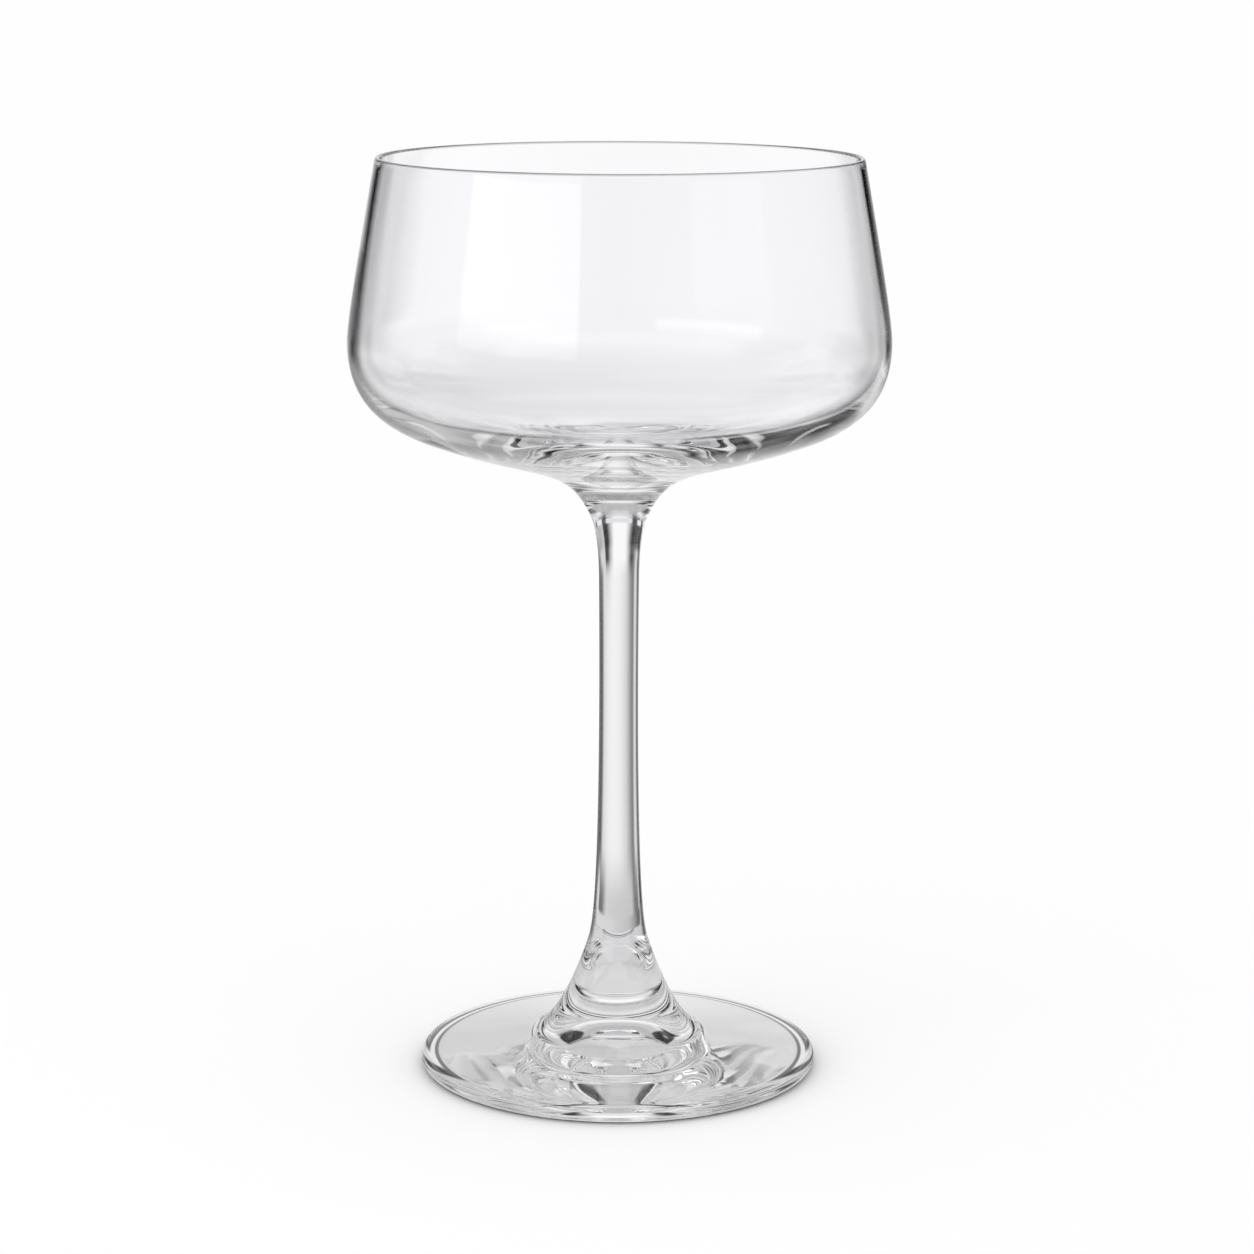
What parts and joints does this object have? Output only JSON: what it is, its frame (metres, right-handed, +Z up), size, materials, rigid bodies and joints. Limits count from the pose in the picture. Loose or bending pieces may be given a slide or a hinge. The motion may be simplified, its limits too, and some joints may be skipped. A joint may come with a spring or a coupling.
{
  "type": "coupe glass",
  "caption": "Clear glass coupe: a wide shallow bowl with leaning sides and a rounded base, on a slim drawn stem with a round foot.",
  "frame": {"origin": "centre of the ring that the foot stands on, at the level of the table", "axes": "+Z up the axis of the glass, from the foot to the rim; +X and +Y are alike, because the glass is a solid of revolution"},
  "size_m": [0.099, 0.099, 0.17],
  "materials": {
    "clear_glass": "polished"
  },
  "bodies": {
    "root": {"bowl": "clear_glass", "stem": "clear_glass", "foot": "clear_glass"}
  },
  "joints": []
}
